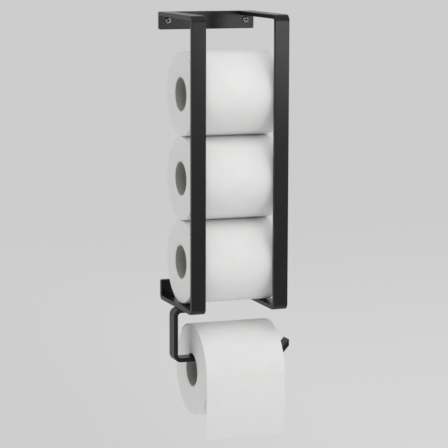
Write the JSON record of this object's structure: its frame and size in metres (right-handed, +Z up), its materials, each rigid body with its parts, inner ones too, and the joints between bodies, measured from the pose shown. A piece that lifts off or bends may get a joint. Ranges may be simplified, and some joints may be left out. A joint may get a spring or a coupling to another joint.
{
  "type": "toilet roll storage holder",
  "caption": "Wall holder bent from flat steel bar: an open bay stores spare toilet rolls one above the other, and an upturned arm below carries the roll in use.",
  "frame": {"origin": "midway between the two wall screws, on the back face of the wall plate", "axes": "+X to the right as seen from the room, +Y into the wall, +Z up"},
  "size_m": [0.1456, 0.1412, 0.4917],
  "materials": {
    "powder_coat": "matte",
    "screw_steel": "satin",
    "tissue": "matte",
    "core_card": "matte"
  },
  "bodies": {
    "holder": {"wall_plate": "powder_coat", "left_strap": "powder_coat", "right_strap": "powder_coat", "roll_arm": "powder_coat", "wall_screws": "screw_steel"},
    "stored_roll_1": {"stored_roll_1_paper": "tissue", "stored_roll_1_core": "core_card"},
    "stored_roll_2": {"stored_roll_2_paper": "tissue", "stored_roll_2_core": "core_card"},
    "stored_roll_3": {"stored_roll_3_paper": "tissue", "stored_roll_3_core": "core_card"},
    "loose_sheet": {"hanging_sheet": "tissue"},
    "hanging_roll": {"hanging_roll_paper": "tissue", "hanging_roll_core": "core_card"}
  },
  "joints": [
    {"name": "stored_roll_1_out", "type": "slide", "parent": "holder", "child": "stored_roll_1", "axis": [-1, 0, 0], "range_m": [0, 0.12]},
    {"name": "stored_roll_2_out", "type": "slide", "parent": "holder", "child": "stored_roll_2", "axis": [-1, 0, 0], "range_m": [0, 0.12]},
    {"name": "stored_roll_3_out", "type": "slide", "parent": "holder", "child": "stored_roll_3", "axis": [-1, 0, 0], "range_m": [0, 0.12]},
    {"name": "hanging_roll_shift", "type": "slide", "parent": "holder", "child": "loose_sheet", "axis": [1, 0, 0], "range_m": [-0.015, 0.01]},
    {"name": "hanging_roll_spin", "type": "hinge", "parent": "loose_sheet", "child": "hanging_roll", "pos_m": [0.0075, -0.066, -0.40922], "axis": [1, 0, 0], "continuous": true}
  ]
}
